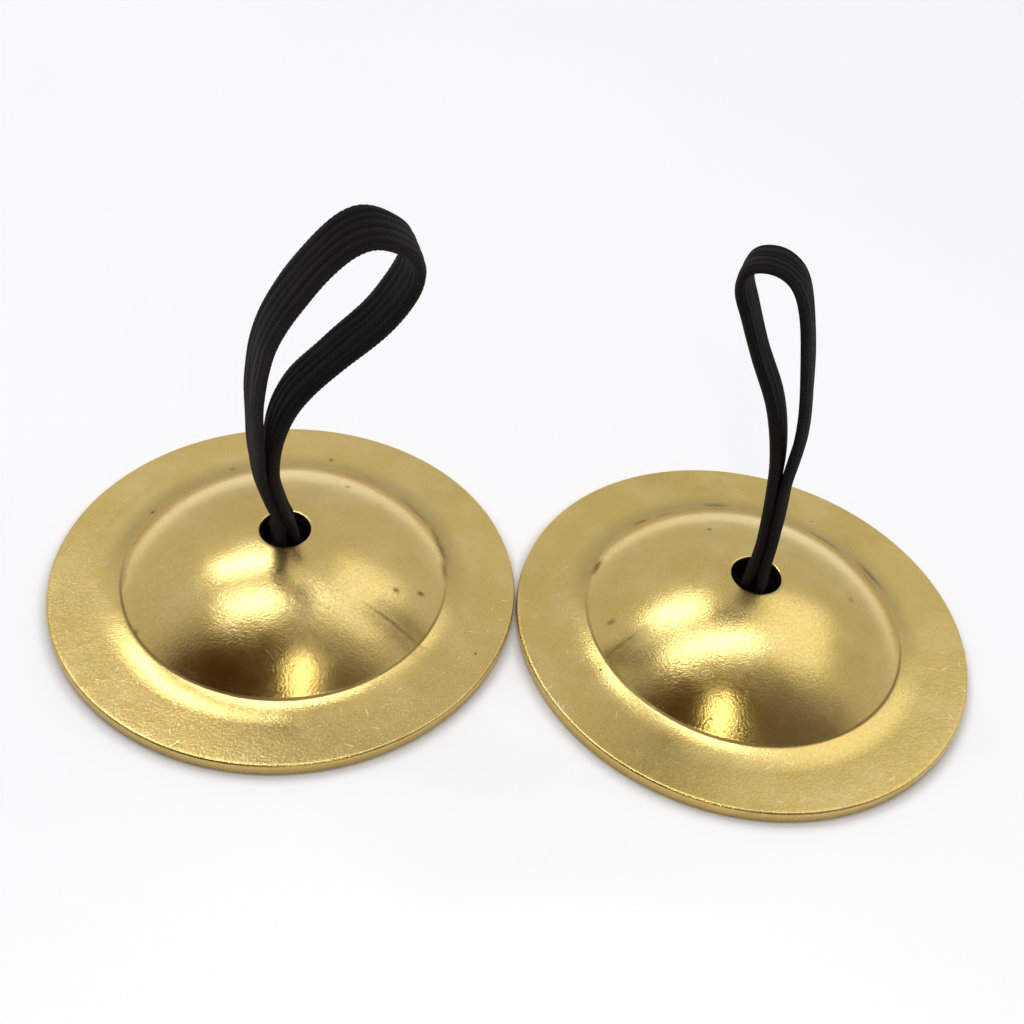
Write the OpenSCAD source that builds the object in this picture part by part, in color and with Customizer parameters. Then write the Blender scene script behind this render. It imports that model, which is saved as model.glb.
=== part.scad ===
// Pair of finger cymbals. Each is a spun brass disc with a raised dome and a
// flat rim, and carries an elastic finger strap. The strap is one flat band
// folded into a loop: both layers drop through the hole in the dome, are tied
// in a knot underneath and end in two cut tails.
// Frame: X runs through both dome centres, Z is up, the rims lie on Z = 0 and
// the origin is midway between the two discs.

/* [Part] */
// node to draw

/* [Discs] */
// outside diameter of each disc
disc_d = 57; // [54:0.5:60]
// thickness of the brass
brass_t = 1.6; // [1.2:0.1:1.8]
// gap between the two rims
rim_gap = 0.3; // [0.2:0.1:4]
// diameter of the dome where it leaves the rim
foot_d = 39.6; // [38:0.2:42]
// radius of the dome's outside
dome_r = 29; // [28.4:0.1:30]
// width of the soft rise outside the dome's foot
rise_w = 3.4; // [2.6:0.1:4]
// height of the soft rise outside the dome's foot
rise_h = 0.6; // [0.4:0.05:0.7]
// diameter of the strap hole
hole_d = 6; // [5.6:0.1:6.4]

/* [Straps] */
// width of the elastic where it lies open
band_w = 4.4; // [4:0.1:5]
// thickness of the elastic
band_t = 1.1; // [0.8:0.05:1.1]
// width of the elastic where it is bunched above the hole
band_neck_w = 3.4; // [2.8:0.1:3.6]
// height above the table of the bend where the loop can flop over
bend_z = 11.5; // [11.3:0.1:12.5]

/* [Left loop] */
// turn of the loop's plane about the hole
left_turn = 25; // [0:1:40]
// lean of the loop's plane from upright
left_lean = 17; // [0:1:20]

/* [Right loop] */
// turn of the loop's plane about the hole
right_turn = -18; // [-40:1:0]
// lean of the loop's plane from upright
right_lean = -2; // [-6:1:20]

/* [Knots] */
// height of the knot's middle above the table
knot_z = 5.2; // [5:0.1:5.3]
// radius of the turns the strap makes in the knot
knot_ring = 1.95; // [1.8:0.05:2.1]
// radius of the bunched strap in the knot
knot_tube = 1.15; // [1:0.05:1.2]
// length of the cut tails from the middle of the knot
tail_l = 12; // [9:0.5:13]

/* [Hidden] */
brass = [0.78, 0.68, 0.42];
elastic = [0.13, 0.13, 0.13];
half_pitch = disc_d/2 + rim_gap/2;
foot_r = foot_d/2;
hole_r = hole_d/2;
dome_c = brass_t + rise_h - sqrt(dome_r*dome_r - foot_r*foot_r);
inner_r = dome_r - brass_t;
edge_r = 0.35;
bar_r = 1.25;
neck_top = bend_z - bar_r - 0.3;
arc_n = 28;
band_steps = 5;

// each route is the middle line of the strap in the loop's own plane:
// sideways, then up from the bend
left_route = [[-0.75, 0], [-2, 4.6], [-3.6, 11.8], [-4.2, 20.2], [-4.5, 28.5], [-3.4, 37.4], [0.4, 45.7],
              [4.4, 49.3], [8.7, 46.7], [9.5, 42.5], [7.2, 36.7], [3.2, 31.7], [-0.3, 26.5], [-2, 20],
              [-2, 11.7], [-0.5, 3.8], [0.75, 0]];
right_route = [[0.75, 0], [0.5, 5.7], [0, 13], [-0.3, 20.7], [-1.9, 29.6], [-4.4, 36.8], [-7.1, 39.6],
               [-10, 39.1], [-10.3, 36.3], [-8.8, 32.9], [-6.6, 28.5], [-3.6, 22.9], [-1.8, 16.3],
               [-1.1, 9.4], [-0.6, 4.4], [-0.75, 0]];

function smooth(t) = let (c = max(0, min(1, t))) c*c*(3 - 2*c);

// Catmull-Rom point between b and c
function blend(a, b, c, d, t) =
  0.5*(2*b + (c - a)*t + (2*a - 5*b + 4*c - d)*t*t + (3*b - 3*c + d - a)*t*t*t);
function pick(p, i) =
  i < 0 ? 2*p[0] - p[1] : i >= len(p) ? 2*p[len(p) - 1] - p[len(p) - 2] : p[i];
function curve(p, n) =
  [for (i = [0 : len(p) - 2]) for (k = [0 : n - 1]) blend(pick(p, i - 1), p[i], p[i + 1], pick(p, i + 2), k/n),
   p[len(p) - 1]];
// tight turn that closes a loop below the bend, from one leg to the other
function foot_turn(r, from) =
  [for (i = [1 : 5]) let (a = 30*i) [-sign(from)*r*-cos(a), -r*sin(a)]];

// outline of the flat band, counter-clockwise, with its corners eased
function band_outline(w, t) =
  let (a = w/2, b = t/2, e = 0.28)
  [[a - e, -b], [a, -b + e], [a, b - e], [a - e, b], [-a + e, b], [-a, b - e], [-a, -b + e], [-a + e, -b]];

// flat band swept along a plane route; its width lies along Y; a closed
// band runs round to its start, an open one has two cut ends
module band(route, widths, closed = false) {
  n = len(route);
  m = 8;
  last = closed ? n - 1 : n - 2;
  tangents = [for (i = [0 : n - 1])
    let (next = closed ? (i + 1) % n : min(i + 1, n - 1), prev = closed ? (i + n - 1) % n : max(i - 1, 0),
         d = route[next] - route[prev])
    d/norm(d)];
  pts = [for (i = [0 : n - 1])
    let (o = band_outline(widths[i], band_t), tx = tangents[i][0], tz = tangents[i][1])
    for (q = o) [route[i][0] - tz*q[1], q[0], route[i][1] + tx*q[1]]];
  sides = [for (i = [0 : last]) for (j = [0 : m - 1])
    let (k = (j + 1) % m, h = (i + 1) % n)
    each [[i*m + j, h*m + k, i*m + k], [i*m + j, h*m + j, h*m + k]]];
  start_cap = [for (j = [0 : m - 1]) j];
  end_cap = [for (j = [m - 1 : -1 : 0]) (n - 1)*m + j];
  polyhedron(points = pts, faces = closed ? sides : concat([start_cap, end_cap], sides), convexity = 6);
}

// section of a disc from the hole out to the rim, then back underneath
function arc_points(r, r0, r1) =
  let (a0 = asin(r0/r), a1 = asin(r1/r))
  [for (i = [0 : arc_n]) let (a = a0 + (a1 - a0)*i/arc_n) [r*sin(a), dome_c + r*cos(a)]];
function rise_points() =
  [for (i = [1 : 8]) let (u = i/8) [foot_r + rise_w*u, brass_t + rise_h*(1 - u)*(1 - u)]];
function rim_points() =
  [for (i = [0 : 5]) let (a = 90 - 18*i)
     [disc_d/2 - edge_r + edge_r*cos(a), brass_t - edge_r + edge_r*sin(a)],
   for (i = [0 : 5]) let (a = -18*i)
     [disc_d/2 - edge_r + edge_r*cos(a), edge_r + edge_r*sin(a)]];
function under_points() =
  let (in_r = foot_r - 0.95)
  concat([[foot_r + 0.7*rise_w, 0], [foot_r + 1.1, 0.15*rise_h], [foot_r + 0.3, 0.5*rise_h],
          [foot_r - 0.35, 0.9*rise_h]],
         [for (p = [for (i = [0 : arc_n]) i])
            let (a = asin(in_r/inner_r) + (asin(hole_r/inner_r) - asin(in_r/inner_r))*p/arc_n)
            [inner_r*sin(a), dome_c + inner_r*cos(a)]]);

module disc() {
  ease = 0.25;
  top_z = dome_c + sqrt(dome_r*dome_r - hole_r*hole_r);
  profile = concat([[hole_r, top_z - ease - 0.02]],
                   arc_points(dome_r, hole_r + ease, foot_r),
                   rise_points(), rim_points(), under_points());
  color(brass)
    rotate_extrude($fn = 160) polygon(profile);
}

module loop_strap(route, turn, lean, rise0, rise1) {
  legs = curve(route, band_steps);
  line = concat(legs, foot_turn(abs(route[0][0]), route[0][0]));
  widths = [for (p = line) band_neck_w + (band_w - band_neck_w)*smooth((p[1] - rise0)/(rise1 - rise0))];
  color(elastic)
    translate([0, 0, bend_z])
      rotate([0, 0, turn])
        rotate([lean, 0, 0]) band(line, widths, true);
}

// both layers of the band side by side, dropping through the hole
module neck_strap(turn) {
  color(elastic)
    rotate([0, 0, turn])
      for (side = [-1, 1])
        translate([side*0.5*band_t, 0, knot_z + 1.3])
          linear_extrude(height = neck_top - knot_z - 1.3)
            square([band_t + 0.02, band_neck_w], center = true);
}

// the doubled band tied on itself and drawn up tight: two snug turns, one on
// the other, a little aslant
module knot(turn) {
  n = 8;
  cut = asin(0.9);
  low = [for (i = [0 : n]) let (a = -90 + (90 + cut)*i/n)
    [knot_ring + knot_tube*cos(a), knot_tube*(sin(a) - 0.9)]];
  high = [for (i = [1 : n]) let (a = -cut + (90 + cut)*i/n)
    [knot_ring + knot_tube*cos(a), knot_tube*(sin(a) + 0.9)]];
  color(elastic)
    translate([0, 0, knot_z])
      rotate([0, 0, turn])
        rotate([8, 0, 0])
          rotate_extrude($fn = 64)
            polygon(concat([[0, -1.55*knot_tube]], low, high, [[0, 1.55*knot_tube]]));
}

// cut end of the band, leaving the knot sideways and drooping to the table
module tail(turn, reach, drop) {
  route = [[2.4, 0], [4.4, -0.2], [reach*0.62, -drop*0.55], [reach*0.85, -drop*0.9], [reach, -drop]];
  line = curve(route, band_steps);
  color(elastic)
    translate([0, 0, knot_z - 0.6])
      rotate([0, 0, turn])
        band(line, [for (p = line) band_neck_w + (band_w - 0.3 - band_neck_w)*smooth((p[0] - 3)/5)]);
}

module left_at() {
  translate([-half_pitch, 0, 0]) children();
}

module right_at() {
  translate([half_pitch, 0, 0]) children();
}

module left_cymbal() {
  left_at() disc();
}

module left_loop() {
  left_at() loop_strap(left_route, left_turn, left_lean, 3.5, 25);
}

module left_neck() {
  left_at() neck_strap(left_turn);
}

module left_knot() {
  left_at() knot(left_turn);
}

module left_tail_a() {
  left_at() tail(80, tail_l, 2.9);
}

module left_tail_b() {
  left_at() tail(250, tail_l - 1.5, 2.4);
}

module right_cymbal() {
  right_at() disc();
}

module right_loop() {
  right_at() loop_strap(right_route, right_turn, right_lean, 0.5, 18);
}

module right_neck() {
  right_at() neck_strap(right_turn);
}

module right_knot() {
  right_at() knot(right_turn);
}

module right_tail_a() {
  right_at() tail(105, tail_l - 1, 2.6);
}

module right_tail_b() {
  right_at() tail(278, tail_l, 2.9);
}

left_cymbal();
left_loop();
left_neck();
left_knot();
left_tail_a();
left_tail_b();
right_cymbal();
right_loop();
right_neck();
right_knot();
right_tail_a();
right_tail_b();
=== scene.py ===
"""A pair of finger cymbals: spun brass discs with black elastic finger straps.

Metres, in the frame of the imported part. Shapes are drawn in millimetres and scaled by MM.
"""
import math

import bpy
import numpy as np
from mathutils import Matrix, Vector


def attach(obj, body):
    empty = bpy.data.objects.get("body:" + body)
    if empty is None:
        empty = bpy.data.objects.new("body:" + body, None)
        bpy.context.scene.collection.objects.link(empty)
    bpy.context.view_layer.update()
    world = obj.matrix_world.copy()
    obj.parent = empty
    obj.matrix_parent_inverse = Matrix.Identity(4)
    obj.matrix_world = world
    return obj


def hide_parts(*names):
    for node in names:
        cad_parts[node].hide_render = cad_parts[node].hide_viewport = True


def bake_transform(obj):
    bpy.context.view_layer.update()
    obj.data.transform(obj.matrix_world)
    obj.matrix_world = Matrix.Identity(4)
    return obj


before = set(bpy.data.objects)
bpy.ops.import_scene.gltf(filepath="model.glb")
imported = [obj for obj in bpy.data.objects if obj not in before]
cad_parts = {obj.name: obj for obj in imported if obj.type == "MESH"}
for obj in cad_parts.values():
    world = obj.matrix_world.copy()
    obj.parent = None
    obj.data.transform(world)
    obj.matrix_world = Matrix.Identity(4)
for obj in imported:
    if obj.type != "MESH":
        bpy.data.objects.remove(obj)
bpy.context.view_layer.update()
MM = 0.001
scene = bpy.context.scene
CAMERA_AT = (-0.007428, -0.108514, 0.11825)
CAMERA_ANGLES = (2.918, 43.197, -7.71)  # yaw, pitch down and roll, in degrees
CAMERA_LENS, CAMERA_SENSOR, CAMERA_NEAR = 44.65, 36, 0.005


def vec(x, y, z):
    return np.array([x, y, z], float)


def smooth(t):
    """Soft step from 0 to 1."""
    t = np.clip(t, 0, 1)
    return t * t * (3 - 2 * t)


# ---------------------------------------------------------------- camera

def make_camera():
    yaw, pitch, roll = (math.radians(a) for a in CAMERA_ANGLES)
    level = math.cos(pitch)
    forward = Vector((math.sin(yaw) * level, math.cos(yaw) * level, -math.sin(pitch)))
    right = Vector((math.cos(yaw), -math.sin(yaw), 0))
    down = forward.cross(right)
    across = math.cos(roll) * right + math.sin(roll) * down
    below = -math.sin(roll) * right + math.cos(roll) * down
    turn = Matrix((across, -below, -forward)).transposed().to_4x4()
    data = bpy.data.cameras.new("camera")
    data.lens, data.sensor_width, data.clip_start = CAMERA_LENS, CAMERA_SENSOR, CAMERA_NEAR
    cam = bpy.data.objects.new("camera", data)
    cam.matrix_world = Matrix.Translation(CAMERA_AT) @ turn
    scene.collection.objects.link(cam)
    scene.camera = cam


make_camera()


# ---------------------------------------------------------------- node helpers

class Nodes:
    """Short way to write a shader: n.add(kind, settings, input=value or socket).

    An input is named with _ for a space, or numbered as i0, i1, i2.
    """

    def __init__(self, tree):
        self.tree = tree
        tree.nodes.clear()

    def plug(self, sock, value):
        """Link a socket to sock, or set a plain value on it."""
        if isinstance(value, bpy.types.NodeSocket):
            self.tree.links.new(value, sock)
        else:
            sock.default_value = value

    def add(self, kind, settings=None, **inputs):
        node = self.tree.nodes.new(kind)
        for key, value in (settings or {}).items():
            setattr(node, key, value)
        for key, value in inputs.items():
            numbered = key[0] == "i" and key[1:].isdigit()
            self.plug(node.inputs[int(key[1:]) if numbered else key.replace("_", " ")], value)
        return node

    def math(self, op, a, b=0.0, c=0.0, clamp=False):
        settings = {"operation": op, "use_clamp": clamp}
        return self.add("ShaderNodeMath", settings, i0=a, i1=b, i2=c).outputs[0]

    def vmath(self, op, a, b=(0, 0, 0)):
        node = self.add("ShaderNodeVectorMath", {"operation": op}, i0=a, i1=b)
        return node.outputs["Value"] if op in ("LENGTH", "DISTANCE") else node.outputs[0]

    def noise(self, at, scale, detail=3.0, rough=0.5, out="Fac"):
        node = self.add("ShaderNodeTexNoise", None, Vector=at, Scale=scale, Detail=detail,
                        Roughness=rough)
        return node.outputs[out]

    def cells(self, at, scale, flat=False):
        """Distance to the nearest of many scattered points, and the colour drawn for that point."""
        settings = {"feature": "F1", "voronoi_dimensions": "2D" if flat else "3D"}
        node = self.add("ShaderNodeTexVoronoi", settings, Vector=at, Scale=scale, Randomness=1.0)
        colour = self.add("ShaderNodeSeparateColor", None, Color=node.outputs["Color"])
        return node.outputs["Distance"], colour.outputs

    def range(self, value, a, b, c=0.0, d=1.0, kind="SMOOTHSTEP"):
        """Value from a to b becomes c to d."""
        node = self.add("ShaderNodeMapRange", {"interpolation_type": kind}, Value=value)
        for name, x in zip(("From Min", "From Max", "To Min", "To Max"), (a, b, c, d)):
            node.inputs[name].default_value = x
        return node.outputs[0]

    def mix(self, factor, a, b):
        """Colour a, covered by colour b as far as factor says."""
        node = self.add("ShaderNodeMix", {"data_type": "RGBA", "blend_type": "MIX"})
        for slot, value in ((0, factor), (6, a), (7, b)):
            self.plug(node.inputs[slot], value)
        return node.outputs[2]

    def bump(self, height, distance, strength=1.0, normal=None):
        node = self.add("ShaderNodeBump", None, Height=height, Distance=distance, Strength=strength)
        if normal is not None:
            self.tree.links.new(normal, node.inputs["Normal"])
        return node.outputs[0]


def new_material(name):
    mat = bpy.data.materials.new(name)
    mat.use_nodes = True
    return mat, Nodes(mat.node_tree)


# ---------------------------------------------------------------- sizes, in millimetres

DISC_R, BRASS_T, FOOT_R, DOME_R = 28.5, 1.6, 19.8, 29.0
RISE_W, RISE_H, HOLE_R, EDGE_R = 3.4, 0.6, 3.0, 0.35
DOME_C = BRASS_T + RISE_H - math.sqrt(DOME_R ** 2 - FOOT_R ** 2)
INNER_R = DOME_R - BRASS_T
HALF_PITCH = 28.65

BEND_Z, KNOT_Z = 11.5, 5.2
BAND_W, BAND_T, NECK_W, FLARE_W, KNOT_W = 4.55, 1.31, 3.5, 4.7, 3.0
STEP = 0.19  # length of one row of the band


# ---------------------------------------------------------------- materials

# brass colours: the sheet itself, then what lies over it, painted shade and a painted highlight among
# them
SHEET, SHEET_DEEP, CLOUDED = (0.88, 0.665, 0.232), (0.82, 0.61, 0.205), (0.93, 0.75, 0.34, 1)
GRAIN, NEAR_RIM_SHADE, RISE_SHADE = (0.50, 0.355, 0.115, 1), (0.40, 0.29, 0.10, 1), (0.40, 0.30, 0.13, 1)
CREASE_HIGHLIGHT, RIM_SIDE_SHADE, FILM_AND_CREASE_SHADE = (1.0, 0.90, 0.58, 1), (0.42, 0.27, 0.08, 1), (0.20, 0.125, 0.045, 1)
PIT, SCRATCH = (0.10, 0.06, 0.03, 1), (1.0, 0.95, 0.72, 1)
CREASE_R = 0.01983  # metres, where the dome meets the rise
SCRATCH_STRETCH = 8.0
# direction in degrees, cells to a metre, width within a cell, share of cells left out
SCRATCHES = ((22, 800, 0.070, 0.72), (80, 950, 0.078, 0.74),
             (131, 740, 0.070, 0.74), (163, 1050, 0.078, 0.76))
BAND_BLACK, BAND_GREY, BAND_WARM = ((0.0022, 0.0022, 0.0022, 1), (0.0145, 0.0138, 0.0132, 1),
                                    (0.0152, 0.0140, 0.0105, 1))
THREAD_PITCH, THREADS = 0.33, 27  # millimetres from one cross thread to the next; threads side by side


def finish_material(n, **looks):
    """Principled shader and output; returns the shader."""
    shader = n.add("ShaderNodeBsdfPrincipled", None, **looks)
    n.add("ShaderNodeOutputMaterial", None, Surface=shader.outputs[0])
    return shader

def scratch_layer(n, bent, angle, seed, pitch, width, keep):
    """Short thin scratches that all lie one way: stretched cells, most of them left out."""
    turned = n.add("ShaderNodeMapping", {"vector_type": "TEXTURE"}, Vector=bent)
    turned.inputs["Rotation"].default_value = (0, 0, math.radians(angle))
    turned.inputs["Location"].default_value = (seed, seed * 0.37, 0)
    turned.inputs["Scale"].default_value = (1, SCRATCH_STRETCH, 1)
    distance, drawn = n.cells(turned.outputs[0], pitch, flat=True)
    line = n.range(distance, width, width * 0.4)
    return n.math("MULTIPLY", line, n.math("GREATER_THAN", drawn[0], keep))


def brass_material(name, seed, tint, near_rim_shade_amount):
    """Satin spun brass: fine grain, faint turning lines, light scratches, dark pits and smudges.

    Distances are in metres from the disc's axis; side is negative towards the camera.
    """
    mat, n = new_material(name)
    coords = n.add("ShaderNodeTexCoord").outputs["Object"]
    at = n.vmath("ADD", coords, (seed * 0.173, seed * 0.091, 0))
    radius = n.vmath("LENGTH", n.vmath("MULTIPLY", coords, (1, 1, 0)))
    side = n.add("ShaderNodeSeparateXYZ", None, Vector=coords).outputs[1]
    stain = n.add("ShaderNodeAttribute", {"attribute_name": "stain"}).outputs["Fac"]

    cloud = n.noise(at, 200, 4, 0.6)
    grain = n.noise(at, 3400, 3, 0.66)
    flange = n.range(radius, 0.0205, 0.0235)
    near = n.range(side, 0.012, -0.010, 0.35, 1.0)

    # thin dark film left by the forming: loose patches and the marks rubbed on by hands; the dark line
    # in the crease on the near side is painted shade
    patch = n.range(n.noise(at, 115, 5, 0.68), 0.55, 0.8, 0, 0.22)
    marks = n.math("MULTIPLY", stain, n.range(n.noise(at, 2200, 3, 0.6), 0.3, 0.6, 0.85, 1.4))
    off_line = n.math("ABSOLUTE", n.math("SUBTRACT", radius, CREASE_R))
    line = n.math("MULTIPLY", n.range(off_line, 0.00024, 0.00006),
                  n.range(side, 0.004, -0.008, 0.0, 0.8))
    film_and_crease_shade = n.math("MAXIMUM", n.math("ADD", patch, marks, clamp=True), line)
    # painted highlight and painted shade on the far side: a lighter band inside the crease and a darker
    # one on the rise outside it
    painted_crease_highlight = n.math("MULTIPLY", n.range(radius, 0.0170, 0.0186), n.range(radius, 0.0197, 0.0193))
    painted_crease_highlight = n.math("MULTIPLY", painted_crease_highlight, n.range(side, -0.004, 0.010, 0.0, 0.10))
    painted_rise_shade = n.math("MULTIPLY", n.range(radius, 0.0193, 0.0199), n.range(radius, 0.0232, 0.0202))
    painted_rise_shade = n.math("MULTIPLY", painted_rise_shade, n.range(side, -0.006, 0.008, 0.0, 0.42))
    # painted shade: the near side of the rim is a deeper tone
    painted_near_rim_shade = n.math("MULTIPLY", n.range(radius, 0.0212, 0.0230),
                  n.range(side, -0.004, -0.016, 0.0, near_rim_shade_amount))

    distance, drawn = n.cells(at, 430.0)
    pits = n.math("MULTIPLY", n.range(distance, 0.085, 0.04), n.math("GREATER_THAN", drawn[1], 0.955))

    # scratches in four directions, bent a little, and small specks; both more on the near rim
    bent = n.add("ShaderNodeVectorMath", {"operation": "MULTIPLY_ADD"},
                 i0=n.noise(at, 190, 1, out="Color"), i1=(0.0016, 0.0016, 0), i2=at).outputs[0]
    scratches = 0.0
    for i, (angle, pitch, width, keep) in enumerate(SCRATCHES):
        layer = scratch_layer(n, bent, angle, 0.31 * i + seed, pitch, width, keep)
        scratches = n.math("MAXIMUM", scratches, layer)
    distance, drawn = n.cells(at, 1500.0)
    specks = n.math("MULTIPLY", n.range(distance, 0.22, 0.1), n.math("GREATER_THAN", drawn[2], 0.93))
    zone = n.range(n.noise(at, 105, 3, 0.6), 0.36, 0.62, 0.15, 1.0)
    wear = n.math("MULTIPLY", near, n.math("MULTIPLY_ADD", flange, 0.75, 0.25))
    wear = n.math("MULTIPLY", zone, wear)
    wear = n.math("MULTIPLY", wear, n.range(radius, 0.02846, 0.02834))  # none on the rim's side face
    light = n.math("MULTIPLY", n.math("MAXIMUM", scratches, specks), wear)

    # colours, each laid over the one before
    plain, deep = ([*(c * t for c, t in zip(tone, tint)), 1] for tone in (SHEET, SHEET_DEEP))
    base = n.mix(n.range(n.noise(at, 55, 3, 0.55), 0.35, 0.68), plain, deep)
    for amount, colour in (
            (n.range(cloud, 0.42, 0.70, 0, 0.42), CLOUDED),
            (n.math("MULTIPLY", n.range(grain, 0.34, 0.66, 0.0, 0.36, "LINEAR"), near), GRAIN),
            (painted_near_rim_shade, NEAR_RIM_SHADE),
            (painted_rise_shade, RISE_SHADE),
            (painted_crease_highlight, CREASE_HIGHLIGHT),
            # painted shade: the rim's side face is darker
            (n.range(radius, 0.02837, 0.02847, 0.0, 0.42), RIM_SIDE_SHADE),
            (n.math("MULTIPLY", film_and_crease_shade, 0.9), FILM_AND_CREASE_SHADE),
            (n.math("MULTIPLY", pits, 0.8), PIT),
            (n.math("MULTIPLY", light, 0.95), SCRATCH)):
        base = n.mix(amount, base, colour)

    rough = n.range(grain, 0.3, 0.7, 0.16, 0.25, "LINEAR")
    for more in (n.range(cloud, 0.35, 0.75, -0.02, 0.05, "LINEAR"),
                 n.math("MULTIPLY", flange, 0.05), n.math("MULTIPLY", film_and_crease_shade, 0.2)):
        rough = n.math("ADD", rough, more)
    rough = n.math("MAXIMUM", rough, n.math("MULTIPLY", light, 0.5), clamp=True)

    # relief: soft waves in the sheet, then grain, turning lines and pits, stronger on the near rim
    turning = n.add("ShaderNodeTexNoise", {"noise_dimensions": "1D"}, W=radius, Scale=4200.0,
                    Detail=2.0, Roughness=0.7).outputs["Fac"]
    normal = n.bump(n.noise(at, 150, 2, 0.5), 0.00012, 0.5)
    uneven = n.math("MULTIPLY_ADD", turning, 0.12, n.math("MULTIPLY_ADD", pits, -2.5, grain))
    strength = n.math("MULTIPLY", near, n.math("MULTIPLY_ADD", flange, 0.3, 0.7))
    normal = n.bump(n.math("MULTIPLY", uneven, strength), 0.000030, 1.0, normal)

    finish_material(n, Base_Color=base, Metallic=1.0, Roughness=rough, Normal=normal)
    return mat


def elastic_material():
    """Black braided elastic: threads, stitched edges and sheen. The lengthwise ribs are in the mesh."""
    mat, n = new_material("black_elastic")
    uv = n.add("ShaderNodeUVMap", {"uv_map": "band"}).outputs[0]
    parts = n.add("ShaderNodeSeparateXYZ", None, Vector=uv)
    across, along = parts.outputs[0], parts.outputs[1]
    at = n.add("ShaderNodeTexCoord").outputs["Object"]
    groove_and_inner_shade = n.add("ShaderNodeAttribute", {"attribute_name": "groove_and_inner_shade"}).outputs["Fac"]
    wobble = n.noise(at, 700, 2, 0.5)
    off = n.math("ABSOLUTE", n.math("SUBTRACT", across, 0.5))
    edge = n.range(off, 0.43, 0.465)
    # cross threads lean one way on the face and the other way on the stitched edges
    slant = n.math("MULTIPLY", off, n.math("MULTIPLY_ADD", edge, 26.0, -5.0))
    row = n.math("ADD", n.math("MULTIPLY", along, 1.0 / THREAD_PITCH), slant)
    row = n.math("MULTIPLY_ADD", wobble, 3.0, row)
    stitch = n.math("ABSOLUTE", n.math("SINE", n.math("MULTIPLY", row, math.pi)))
    thread = n.math("ABSOLUTE", n.math("SINE", n.math("MULTIPLY", across, math.pi * THREADS)))
    fuzz = n.noise(at, 6500, 3, 0.7)
    loose = n.range(n.noise(at, 420, 3, 0.6), 0.38, 0.62, 0.35, 1.0)
    weave = n.math("MULTIPLY", stitch, n.math("MAXIMUM", loose, n.math("MULTIPLY", edge, 0.6)))
    height = n.math("MULTIPLY", weave, 0.00006)
    height = n.math("MULTIPLY_ADD", thread, 0.000022, height)
    height = n.math("MULTIPLY_ADD", fuzz, 0.00006, height)
    light = n.math("MULTIPLY_ADD", weave, 0.55, 0.35)
    light = n.math("MULTIPLY", light, n.range(fuzz, 0.3, 0.7, 0.55, 1.25))
    # painted shade: darker in the grooves between the ribs, along the seams and over the whole inner
    # face of the loop
    open_face = n.math("SUBTRACT", 1.0, n.math("MULTIPLY", groove_and_inner_shade, 0.85))
    light = n.math("MULTIPLY", light, open_face, clamp=True)
    warm = n.range(n.noise(at, 160, 2, 0.5), 0.38, 0.62)
    colour = n.mix(light, BAND_BLACK, n.mix(warm, BAND_GREY, BAND_WARM))
    normal = n.bump(height, 1.0, 1.0)
    shader = finish_material(n, Base_Color=colour, Roughness=0.75, Normal=normal)
    shader.inputs["Specular IOR Level"].default_value = 0.15
    shader.inputs["Sheen Weight"].default_value = 0.035
    shader.inputs["Sheen Roughness"].default_value = 0.4
    return mat


def floor_material():
    """Pale matt table, a little cool, lifted to white away from the discs."""
    mat, n = new_material("pale_floor")
    at = n.add("ShaderNodeTexCoord").outputs["Object"]
    tone = n.range(n.noise(at, 12, 2, 0.5), 0.3, 0.7, 0.93, 0.95, "LINEAR")
    colour = n.add("ShaderNodeCombineColor", None, Red=tone, Green=n.math("ADD", tone, 0.01),
                   Blue=n.math("ADD", tone, 0.025)).outputs[0]
    near = n.math("MINIMUM", n.vmath("DISTANCE", at, (-HALF_PITCH * MM, 0, 0)),
                  n.vmath("DISTANCE", at, (HALF_PITCH * MM, 0, 0)))
    glow = n.range(near, DISC_R * MM, 0.0302, 0.0, 0.25)
    shader = finish_material(n, Base_Color=colour, Roughness=0.9, Emission_Strength=glow)
    shader.inputs["Specular IOR Level"].default_value = 0.1
    shader.inputs["Emission Color"].default_value = (1, 1, 1, 1)
    return mat


# ---------------------------------------------------------------- discs

LIP_R = 0.3  # round of the hole's upper edge
AROUND = 360  # columns of a disc
UV_SPAN = 0.12  # metres to one width of the texture


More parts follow.
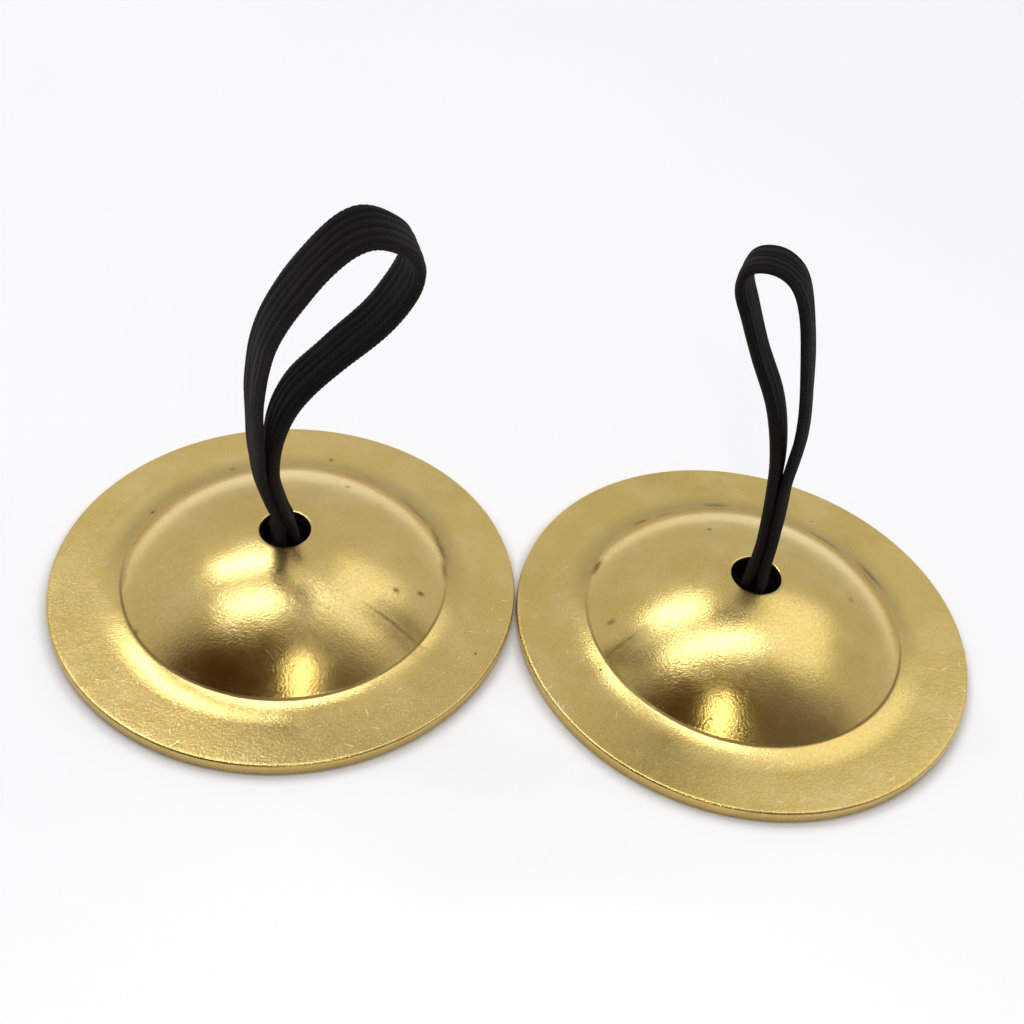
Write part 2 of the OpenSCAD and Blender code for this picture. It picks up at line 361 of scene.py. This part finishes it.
def disc_section():
    """Section of a disc: from the hole's lip over the dome and the rim, and back underneath."""
    a0, a1 = math.asin((HOLE_R + LIP_R) / DOME_R), math.asin((FOOT_R - 0.25) / DOME_R)
    z_lip = DOME_C + DOME_R * math.cos(a0)
    top = [(HOLE_R + LIP_R - LIP_R * math.cos(a), z_lip - LIP_R + LIP_R * math.sin(a))
           for a in np.linspace(0, math.pi / 2, 7)]
    top += [(DOME_R * math.sin(a), DOME_C + DOME_R * math.cos(a)) for a in np.linspace(a0, a1, 70)[1:]]
    # small round in the crease, then the soft rise and the flat rim
    rise = [(FOOT_R + RISE_W * u, BRASS_T + RISE_H * (1 - u) ** 2) for u in np.linspace(0.08, 1, 26)]
    ends = top[-1], (FOOT_R + 0.02, BRASS_T + RISE_H), rise[0]
    for t in np.linspace(0, 1, 7)[1:-1]:
        top.append(tuple((1 - t) ** 2 * p + 2 * t * (1 - t) * q + t * t * r for p, q, r in zip(*ends)))
    top += rise
    top += [(r, BRASS_T) for r in np.linspace(FOOT_R + RISE_W, DISC_R - EDGE_R, 22)[1:-1]]
    top += [(DISC_R - EDGE_R + EDGE_R * math.cos(a), BRASS_T - EDGE_R + EDGE_R * math.sin(a))
            for a in np.radians(np.linspace(90, 0, 8))]
    under = [(DISC_R - EDGE_R + EDGE_R * math.cos(a), EDGE_R + EDGE_R * math.sin(a))
             for a in np.radians(np.linspace(0, -90, 8))]
    under += [(r, 0.0) for r in np.linspace(DISC_R - EDGE_R, FOOT_R + RISE_W - 0.5, 14)[1:]]
    # soft bend up into the hollow of the dome
    under += [(FOOT_R + 2.2, 0.015), (FOOT_R + 1.6, 0.05), (FOOT_R + 1.1, 0.1), (FOOT_R + 0.7, 0.19),
              (FOOT_R + 0.3, 0.31), (FOOT_R - 0.05, 0.43), (FOOT_R - 0.4, 0.57)]
    b0, b1 = math.asin((FOOT_R - 0.95) / INNER_R), math.asin((HOLE_R + 0.15) / INNER_R)
    under += [(INNER_R * math.sin(a), DOME_C + INNER_R * math.cos(a)) for a in np.linspace(b0, b1, 60)]
    z_hole = DOME_C + math.sqrt(INNER_R ** 2 - HOLE_R ** 2)
    return top + under + [(HOLE_R + 0.04, z_hole + 0.03), (HOLE_R, z_hole + 0.15)]


def stain_at(x, y, marks):
    """Darkness of the listed marks at points given in millimetres from the disc's axis."""
    dark = np.zeros(len(x))
    for cx, cy, angle, length, width, strength in marks:
        c, s = math.cos(math.radians(angle)), math.sin(math.radians(angle))
        u, v = (x - cx) * c + (y - cy) * s, (y - cy) * c - (x - cx) * s
        dark = np.maximum(dark, strength * np.exp(-((u / length) ** 2) ** 1.5 - (v / width) ** 2))
    return dark


def make_disc(name, side, body, material, seed, marks):
    """One spun disc; side is -1 for the left one and 1 for the right one."""
    section = np.array(disc_section())
    n = len(section)
    phase = np.random.RandomState(seed).uniform(0, 2 * math.pi, 8)
    r, flat_z = section[:, 0], section[:, 1]
    # the faint unevenness of spun sheet: never below the table, never wider than the disc
    inside = smooth((DISC_R - 0.5 - r) / 3.0) * smooth((r - HOLE_R) / 1.5)
    verts = np.zeros((AROUND, n, 3))
    for k in range(AROUND):
        a = 2 * math.pi * k / AROUND
        swell = sum(math.sin(m * a + phase[m]) / (m + 1) for m in range(2, 6))
        wave = np.sin(r * 0.55 + 2 * math.sin(2 * a + phase[0]) + phase[1])
        z = flat_z + inside * (0.012 * swell + 0.010 * wave) * (flat_z > 0.45)
        verts[k] = np.stack([r * math.cos(a), r * math.sin(a), z], 1)
    verts = verts.reshape(-1, 3) * MM
    faces = []
    for k in range(AROUND):
        h = (k + 1) % AROUND
        for j in range(n):
            i = (j + 1) % n
            faces.append((k * n + j, k * n + i, h * n + i, h * n + j))
    mesh = bpy.data.meshes.new(name)
    mesh.from_pydata(verts.tolist(), [], faces)
    mesh.update()
    # texture layout: seen from above, the lower half of the section beside the upper half
    uv = mesh.uv_layers.new(name="disc")
    idx = np.zeros(len(mesh.loops), np.int32)
    mesh.loops.foreach_get("vertex_index", idx)
    plan = verts[idx][:, :2] / UV_SPAN + 0.25
    plan[:, 0] += np.where(idx % n >= n // 2, 0.5, 0.0)
    uv.data.foreach_set("uv", plan.astype(np.float32).ravel())
    top = np.tile(np.arange(n) < n // 2, AROUND)
    stain = mesh.attributes.new("stain", "FLOAT", "POINT")
    stain.data.foreach_set("value", stain_at(verts[:, 0] / MM, verts[:, 1] / MM, marks) * top)
    mesh.polygons.foreach_set("use_smooth", np.ones(len(mesh.polygons), bool))
    mesh.materials.append(material)
    obj = bpy.data.objects.new(name, mesh)
    obj.location = (side * HALF_PITCH * MM, 0, 0)
    scene.collection.objects.link(obj)
    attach(obj, body)
    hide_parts(name.split("_")[0] + "_cymbal")


# ---------------------------------------------------------------- straps

# middle of each loop in its own upright plane, from bend to bend
LEFT_ROUTE = [(-0.62, 0), (-1.95, 4.4), (-3.6, 11.6), (-4.4, 20), (-4.7, 28.5), (-3.6, 37.5),
              (0.4, 45.9), (4.35, 49.4), (8.75, 46.7), (9.65, 42.6), (7.3, 36.7), (3.15, 31.6),
              (-0.55, 26.4), (-2.2, 19.9), (-2.15, 11.7), (-0.55, 3.8), (0.62, 0)]
RIGHT_ROUTE = [(0.62, 0), (0.5, 5.6), (-0.1, 12.9), (-0.4, 20.7), (-2.1, 29.5), (-4.5, 36.6),
               (-7.2, 38.9), (-10.2, 38.4), (-10.7, 35.9), (-9.3, 32.8), (-7.1, 28.4),
               (-3.95, 22.8), (-1.95, 16.3), (-1.12, 9.4), (-0.6, 4.2), (-0.62, 0)]
GROOVES, SEAMS = (-0.57, -0.2, 0.17, 0.54), (-0.86, 0.86)  # places across the band, -1 to 1
KNOT_SIZE, KNOT_FLAT = 1.2, 1.02
LAYER_GAP, HOLE_SPREAD = 0.53, 0.45  # half the way between the two layers, and what the hole adds
RELIEF = 0.12  # depth of the ribs
ACROSS = 45  # points across one face
PASSES = 14  # of smoothing over the whole band


def spline(points, step):
    """Smooth line through the points, cut into even steps."""
    p = np.asarray(points, float)
    p = np.vstack([2 * p[0] - p[1], p, 2 * p[-1] - p[-2]])
    t = np.linspace(0, 1, 40, endpoint=False)[:, None]
    out = []
    for i in range(1, len(p) - 2):
        a, b, c, d = p[i - 1:i + 3]
        out.append(0.5 * (2 * b + (c - a) * t + (2 * a - 5 * b + 4 * c - d) * t ** 2
                          + (3 * b - 3 * c + d - a) * t ** 3))
    out = np.vstack(out + [p[-2][None]])
    return even(out, step)


def even(line, step):
    """The same line with its rows at even distances, step apart."""
    gaps = np.linalg.norm(np.diff(line, axis=0), axis=1)
    s = np.concatenate([[0], np.cumsum(gaps)])
    count = max(2, int(round(s[-1] / step)) + 1)
    want = np.linspace(0, s[-1], count)
    return np.stack([np.interp(want, s, line[:, k]) for k in range(line.shape[1])], 1)


def unit(v):
    return v / np.maximum(np.linalg.norm(v, axis=-1, keepdims=True), 1e-12)


def tangents(line):
    return unit(np.gradient(line, axis=0))


def carried(line, start):
    """Width direction carried along the line without twisting."""
    t = tangents(line)
    w = [unit(start - t[0] * (start @ t[0]))]
    for i in range(1, len(line)):
        w.append(unit(w[-1] - t[i] * (w[-1] @ t[i])))
    return np.array(w)


def turn_z(angle):
    c, s = math.cos(math.radians(angle)), math.sin(math.radians(angle))
    return np.array([[c, -s, 0], [s, c, 0], [0, 0, 1]])


def turn_x(angle):
    c, s = math.cos(math.radians(angle)), math.sin(math.radians(angle))
    return np.array([[1, 0, 0], [0, c, -s], [0, s, c]])


def knot_line():
    """Middle of the doubled band from the bend down through the hole and round the overhand knot."""
    z = BEND_Z - KNOT_Z
    entry = [(0, 0, z), (0, 0, z - 1.2), (0, 0, z - 2.4), (0, 0, z - 3.5),
             (-0.8, -1.8, 1.9), (-1.1, -3.2, 1.2), (0.0, -3.3, 0.75)]
    s = KNOT_SIZE
    turns = [(s * (math.sin(t) + 2 * math.sin(2 * t)), s * (math.cos(t) - 2 * math.cos(2 * t)),
              -KNOT_FLAT * s * math.sin(3 * t))
             for t in np.linspace(math.pi + 0.5, 3 * math.pi - 0.42, 22)]
    leave = [(-0.5, -4.3, -0.9)]
    return np.array(entry + turns + leave) + vec(0, 0, KNOT_Z)


def strap_halves(first, turn, tails):
    """Each layer from the bend through the hole and the knot to its cut end: line, width way, width."""
    spin = turn_z(turn)
    bundle = spline(knot_line(), STEP)
    bw = carried(bundle, vec(0, 1, 0))
    bn = unit(np.cross(tangents(bundle), bw))
    drop = np.arange(len(bundle)) * STEP
    # the two layers spread a little where they fill the hole
    spread = LAYER_GAP + HOLE_SPREAD * smooth(1 - np.abs(drop - 2.0) / 2.0)
    # narrow at the bend, wide in the hole, bunched in the knot, wide again at the cut end
    size = (NECK_W + (FLARE_W - NECK_W) * smooth((drop - 0.4) / 1.7)
            - (FLARE_W - KNOT_W) * smooth((drop - 2.1) / 1.7))
    halves = []
    for k, (azimuth, reach, lift) in zip((first, -first), tails):
        layer = bundle + k * spread[:, None] * bn
        end, away, width = layer[-1], tangents(layer)[-1], bw[-1]
        out = vec(math.cos(math.radians(azimuth)), math.sin(math.radians(azimuth)), 0)
        stop = out * reach + vec(0, 0, lift)
        mid = out * reach * 0.62 + vec(0, 0, (end[2] + lift) * 0.5 + 0.5)
        leave = end + away * 0.9 + vec(0, 0, 0.25 * k)
        tail = spline([end, leave, mid, stop + vec(0, 0, 0.15) - out * 1.6, stop], STEP)[1:]
        final = unit(np.cross(vec(0, 0, 1), out))
        if final @ width < 0:
            final = -final
        share = smooth(np.linspace(0, 1, len(tail)) / 0.7)[:, None]
        tw = unit(width * (1 - share) + final * share)
        cut = KNOT_W + (BAND_W - 0.2 - KNOT_W) * smooth(np.linspace(0, 1, len(tail)) / 0.75)
        halves.append((np.vstack([layer, tail]) @ spin.T, np.vstack([bw, tw]) @ spin.T,
                       np.concatenate([size, cut])))
    return halves


def make_strap(name, side, route, turn, lean, tails, widen, broad, nodes, material):
    """One band from cut end to cut end.

    turn and lean set the loop about the hole; each tail is (azimuth, reach, height); widen is where
    the loop grows to full width; broad is (from, to, by how much) for its wider stretch.
    """
    inner = -1 if side < 0 else 1  # the face towards the inside of the loop
    halves = strap_halves(math.copysign(1, route[0][0]), turn, tails)
    tip = turn_z(turn) @ turn_x(lean)
    plane = spline([(x, 0, z) for x, z in route], STEP)
    loop = plane @ tip.T + vec(0, 0, BEND_Z)
    loop_wide = np.tile(tip @ vec(0, 1, 0), (len(loop), 1))
    loop_size = NECK_W + (BAND_W - NECK_W) * smooth((plane[:, 2] - widen[0]) / (widen[1] - widen[0]))
    share = np.linspace(0, 1, len(loop))
    loop_size += broad[2] * smooth((share - broad[0]) / 0.12) * smooth((broad[1] - share) / 0.12)

    line, wide, size = (np.concatenate([before[::-1], middle[1:-1], after]) for before, middle, after
                        in zip(halves[0], (loop, loop_wide, loop_size), halves[1]))
    for _ in range(PASSES):
        for part in (line, wide, size):
            part[1:-1] = 0.25 * part[:-2] + 0.5 * part[1:-1] + 0.25 * part[2:]
    packed = even(np.hstack([line, wide, size[:, None]]), STEP)
    line, wide, size = packed[:, :3], packed[:, 3:6], packed[:, 6]
    t = tangents(line)
    wide = unit(wide - t * np.sum(wide * t, axis=1, keepdims=True))
    normal = np.cross(t, wide)
    rows = len(line)
    along = np.arange(rows) * STEP

    # section: two ribbed faces meeting in a rounded, stitched edge
    a = np.linspace(-1, 1, ACROSS)
    a = 0.72 * a + 0.28 * np.sin(a * math.pi / 2)
    u = np.concatenate([a, a[::-1]])
    face = np.concatenate([np.ones(ACROSS), -np.ones(ACROSS)])
    rng = np.random.RandomState(7 + int(side))

    def drift(span, amount):
        """Slow random change from row to row."""
        raw = np.convolve(rng.normal(size=rows + span), np.hanning(span + 1), "valid")[:rows]
        return amount * raw / (raw.std() + 1e-9)

    tight = np.clip(1 - (size - KNOT_W) / (BAND_W - KNOT_W), 0, 1)  # 1 where the band is bunched
    dent = np.zeros((rows, 2 * ACROSS))
    for g in GROOVES:
        for f in (1, -1):
            middle, depth = g + drift(70, 0.035), 1 + drift(50, 0.22)
            dent = np.maximum(dent, (face == f) * np.clip(depth, 0.35, 1.5)[:, None]
                              * np.exp(-((u[None] - middle[:, None]) / 0.09) ** 2))
    for g in SEAMS:
        dent = np.maximum(dent, 0.75 * np.exp(-((u[None] - g) / 0.04) ** 2) * np.ones((rows, 1)))
    scallop = 0.035 * np.sin(2 * math.pi * along / (3 * STEP)) + drift(40, 0.03)
    half = 0.5 * size[:, None] + scallop[:, None] * np.abs(u[None]) ** 4
    body = 0.5 * BAND_T * (1 - 0.5 * np.abs(u) ** 6) - RELIEF
    lump = RELIEF * (1 - dent) * (1 - np.abs(u[None]) ** 8)
    crown = drift(90, 0.07)[:, None] * (1 - u[None] ** 2) + drift(70, 0.06)[:, None] * u[None]
    fold = 0.16 * tight[:, None] * np.sin(4.2 * u[None] + 0.6) * (1 - 0.3 * u[None] ** 2)
    h = face[None] * (body[None] + lump) + crown * (1 - 0.7 * tight[:, None]) + fold
    verts = line[:, None] + wide[:, None] * (u[None] * half)[..., None] + normal[:, None] * h[..., None]
    verts = verts.reshape(-1, 3) + vec(side * HALF_PITCH, 0, 0)
    # painted shade: grooves and seams darker, and the whole inner face of the loop
    groove_and_inner_shade = np.clip(np.maximum(dent, 0.8 * (face[None] == inner)), 0, 1)
    q = 2 * ACROSS
    faces, loop_uv = [], []
    for i in range(rows - 1):
        for j in range(q):
            k = (j + 1) % q
            faces.append((i * q + j, (i + 1) * q + j, (i + 1) * q + k, i * q + k))
            uj, uk = (u[j] + 1) / 2, (u[k] + 1) / 2
            loop_uv += [(uj, along[i]), (uj, along[i + 1]), (uk, along[i + 1]), (uk, along[i])]
    for base, flip in ((0, False), ((rows - 1) * q, True)):
        cap = [base + j for j in range(q)]
        faces.append(tuple(cap[::-1] if flip else cap))
        loop_uv += [(0.5, along[0])] * q
    mesh = bpy.data.meshes.new(name)
    mesh.from_pydata((verts * MM).tolist(), [], faces)
    uv = mesh.uv_layers.new(name="band")
    uv.data.foreach_set("uv", np.array(loop_uv, np.float32).ravel())
    shade = mesh.attributes.new("groove_and_inner_shade", "FLOAT", "POINT")
    shade.data.foreach_set("value", groove_and_inner_shade.ravel().astype(np.float32))
    mesh.update()
    mesh.polygons.foreach_set("use_smooth", np.ones(len(mesh.polygons), bool))
    mesh.materials.append(material)
    obj = bpy.data.objects.new(name, mesh)
    scene.collection.objects.link(obj)
    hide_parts(*nodes)
    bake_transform(obj)


# ---------------------------------------------------------------- light and floor

BAR_WHITE = (0.91, 0.93, 1.0)
STUDIO_GREY, STUDIO_DARK = (0.58, 0.57, 0.57, 1), (0.050, 0.022, 0.004, 1)
FLOOR_HALF, FLOOR_DROP, FLOOR_CELLS = 2.4, 0.00004, 24  # metres, metres, squares a side

def aim(obj, place, target, long_axis):
    """Put a lamp at place so that it faces the target, its long side along long_axis."""
    z = (Vector(place) - Vector(target)).normalized()
    x = Vector(long_axis)
    x = (x - z * x.dot(z)).normalized()
    y = z.cross(x)
    obj.matrix_world = Matrix.Translation(place) @ Matrix((x, y, z)).transposed().to_4x4()


def area(name, direction, distance, size, radiance, colour, long_axis, centre=(0, 0, 0.01)):
    """Rectangular lamp of even brightness, unseen by the camera."""
    light = bpy.data.lights.new(name, "AREA")
    light.shape, light.size, light.size_y = "RECTANGLE", size[0], size[1]
    light.energy = radiance * size[0] * size[1] * math.pi
    light.color = colour
    obj = bpy.data.objects.new(name, light)
    scene.collection.objects.link(obj)
    aim(obj, Vector(centre) + Vector(direction).normalized() * distance, centre, long_axis)
    obj.visible_camera = False


def tilt(right, ahead):
    """Direction that leans from straight up by these angles, in degrees."""
    r = math.hypot(right, ahead)
    s = math.sin(math.radians(r)) / max(r, 1e-6)
    return right * s, ahead * s, math.cos(math.radians(r))


def make_lights():
    """Two bars and a soft box overhead, a small warm lamp in front, and a studio grey all round."""
    area("bar_over", tilt(-9, 0), 0.9, (0.76, 0.11), 6.2, BAR_WHITE, (1, 0.2, 0))
    area("bar_behind", tilt(-24, 21), 0.95, (0.46, 0.09), 8.2, BAR_WHITE, (1, 0.12, 0))
    area("box_right", tilt(33, 14), 0.9, (0.50, 0.60), 0.68, (0.98, 0.98, 1.0), (1, 0, 0))
    area("warm_front", (0.045, -0.46, 0.62), 0.16, (0.012, 0.060), 9.2, (1.0, 0.96, 0.78), (1, 0.0, 0),
         (0.0, -0.015, 0.0))
    world = bpy.data.worlds.new("studio")
    scene.world = world
    world.use_nodes = True
    n = Nodes(world.node_tree)
    way = n.add("ShaderNodeTexCoord").outputs["Generated"]
    p = n.add("ShaderNodeSeparateXYZ", None, Vector=way)
    # dark over the viewer and to the left, which is what the near side of the domes reflects
    front = n.math("MULTIPLY", n.range(p.outputs[1], -0.03, -0.42), n.range(p.outputs[2], 0.12, 0.45))
    left = n.range(n.vmath("DISTANCE", way, (-0.42, -0.45, 0.79)), 0.75, 0.1)
    dark = n.math("ADD", n.math("MULTIPLY", front, 0.84), n.math("MULTIPLY", left, 0.30), clamp=True)
    colour = n.mix(dark, STUDIO_GREY, STUDIO_DARK)
    back = n.add("ShaderNodeBackground", None, Color=colour, Strength=1.0)
    n.add("ShaderNodeOutputWorld", None, Surface=back.outputs[0])


def make_floor():
    """Table in squares, a hair below the rims."""
    side = FLOOR_CELLS + 1
    xs = np.linspace(-FLOOR_HALF, FLOOR_HALF, side)
    verts = [(x, y, -FLOOR_DROP) for y in xs for x in xs]
    corners = [j * side + i for j in range(FLOOR_CELLS) for i in range(FLOOR_CELLS)]
    faces = [(c, c + 1, c + side + 1, c + side) for c in corners]
    mesh = bpy.data.meshes.new("floor")
    mesh.from_pydata(verts, [], faces)
    mesh.materials.append(floor_material())
    obj = bpy.data.objects.new("floor", mesh)
    scene.collection.objects.link(obj)


# ---------------------------------------------------------------- build

brass_left = brass_material("brass_left", 1.0, (1.0, 1.0, 1.0), 0.20)
brass_right = brass_material("brass_right", 4.0, (0.98, 0.99, 0.94), 0.05)
elastic = elastic_material()
# dark marks on top: (x, y, angle, half length, half width, strength), millimetres and degrees
LEFT_MARKS = [
    (14.5, -9, -14, 3.6, 0.28, 0.75), (14.2, -9.9, -16, 4.4, 1.3, 0.34),
    (18.4, 7.3, 112, 3.2, 0.45, 0.6), (14.7, 13.1, 132, 3.0, 0.4, 0.45),
    (19.4, 2.8, 98, 1.6, 0.4, 0.55), (2.0, -3.9, -62, 1.7, 0.9, 0.8),
    (-24, 6.9, 74, 2.6, 1.3, 0.2), (-21.5, 12, 60, 2.4, 1.2, 0.15),
    (-18.6, 8.4, 0, 0.3, 0.3, 0.9), (14, -4.7, 0, 0.32, 0.3, 0.9),
    (16.9, -3.4, 20, 0.4, 0.28, 0.9), (2.3, 22.3, 0, 0.3, 0.3, 0.8), (6, 11.5, 0, 0.3, 0.3, 0.7),
    (-15.6, -12.1, 130, 0.5, 0.25, 0.8), (-10.3, 18.2, 0, 0.3, 0.3, 0.7),
    (-19.2, -3.5, 95, 2.6, 0.4, 0.3), (-8, -17.5, -25, 1.2, 0.3, 0.35),
    (9.5, -24.5, 20, 3.2, 1.2, 0.16)]
RIGHT_MARKS = [
    (-15.8, -8, 26, 3.0, 0.32, 0.7), (-15.6, -8.6, 26, 4.2, 1.4, 0.36),
    (-18.5, 5.8, 72, 1.3, 0.4, 0.85), (-12.4, 15.4, 38, 1.1, 0.35, 0.7),
    (-9.8, 16.4, 30, 0.9, 0.3, 0.6), (-1.9, 20.6, 5, 1.6, 0.4, 0.6),
    (12.6, 15.5, 141, 2.2, 0.4, 0.55), (18.0, 10, 119, 2.4, 0.42, 0.6),
    (-1.5, -4, -110, 1.9, 1.0, 0.7), (-4.8, 9.1, 0, 0.3, 0.3, 0.85),
    (-17, -4.7, 10, 0.45, 0.3, 0.8), (12.4, -0.1, 0, 0.3, 0.3, 0.7),
    (-1.6, -13.6, -60, 0.8, 0.22, 0.8), (-0.7, -14.2, -50, 0.6, 0.2, 0.7),
    (-2.8, -13.2, -70, 0.6, 0.2, 0.6), (-9.7, -23.4, -25, 3.0, 1.5, 0.28),
    (-22.9, -12.5, -60, 3.0, 1.3, 0.2), (-6.5, -12.5, 30, 0.6, 0.2, 0.5)]
make_disc("left_disc_spun", -1, "left_disc", brass_left, 3, LEFT_MARKS)
make_disc("right_disc_spun", 1, "right_disc", brass_right, 8, RIGHT_MARKS)
make_strap("left_strap", -1, LEFT_ROUTE, 25.5, 16.7, [(290, 12.0, 1.9), (243, 10.5, 1.5)],
           (3.2, 23.5), (0.43, 0.72, 0.6),
           ["left_neck", "left_knot", "left_tail_a", "left_tail_b", "left_loop"], elastic)
make_strap("right_strap", 1, RIGHT_ROUTE, -17.8, -4, [(285, 11.0, 1.9), (240, 12.0, 1.5)],
           (-0.3, 20), (0.42, 0.94, 1.4),
           ["right_neck", "right_knot", "right_tail_a", "right_tail_b", "right_loop"], elastic)
make_lights()
make_floor()
scene.view_settings.view_transform = "Standard"
